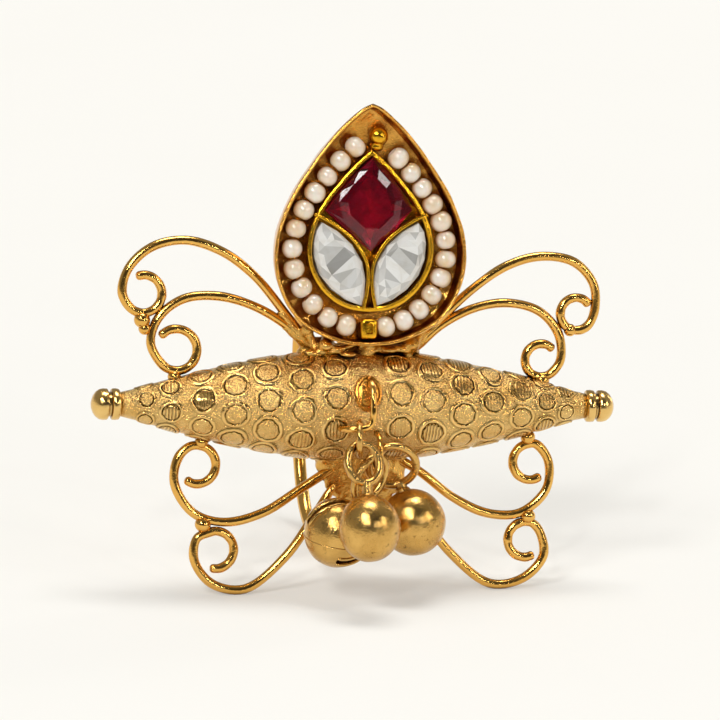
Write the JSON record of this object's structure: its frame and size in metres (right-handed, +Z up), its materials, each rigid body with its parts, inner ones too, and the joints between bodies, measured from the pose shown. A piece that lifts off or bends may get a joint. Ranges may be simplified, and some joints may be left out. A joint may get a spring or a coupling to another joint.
{
  "type": "statement ring",
  "caption": "Finger ring with a spindle amulet tube, scroll wire wings, a pear-shaped pearl and stone setting and small hanging bells.",
  "frame": {"origin": "on the surface the ring rests on, under the middle of its bounding box", "axes": "+X along the tube, to the right as the stones are faced; +Y back, to the shank; +Z up"},
  "size_m": [0.0428, 0.0344, 0.0394],
  "materials": {
    "gold": "polished yellow gold plate",
    "bell_gold": "worn satin gold plate",
    "pearl": "pearl lustre",
    "ruby": "cut, polished",
    "white_stone": "cut, polished"
  },
  "bodies": {
    "root": {"metalwork": "gold", "ruby": "ruby", "white_stone_left": "white_stone", "white_stone_right": "white_stone", "pearl_left_01": "pearl", "pearl_left_02": "pearl", "pearl_left_03": "pearl", "pearl_left_04": "pearl", "pearl_left_05": "pearl", "pearl_left_06": "pearl", "pearl_left_07": "pearl", "pearl_left_08": "pearl", "pearl_left_09": "pearl", "pearl_left_10": "pearl", "pearl_left_11": "pearl", "pearl_left_12": "pearl", "pearl_right_01": "pearl", "pearl_right_02": "pearl", "pearl_right_03": "pearl", "pearl_right_04": "pearl", "pearl_right_05": "pearl", "pearl_right_06": "pearl", "pearl_right_07": "pearl", "pearl_right_08": "pearl", "pearl_right_09": "pearl", "pearl_right_10": "pearl", "pearl_right_11": "pearl", "pearl_right_12": "pearl", "jump_link": "gold", "bell_front": "bell_gold", "bell_left": "bell_gold", "bell_right": "bell_gold"}
  },
  "joints": []
}
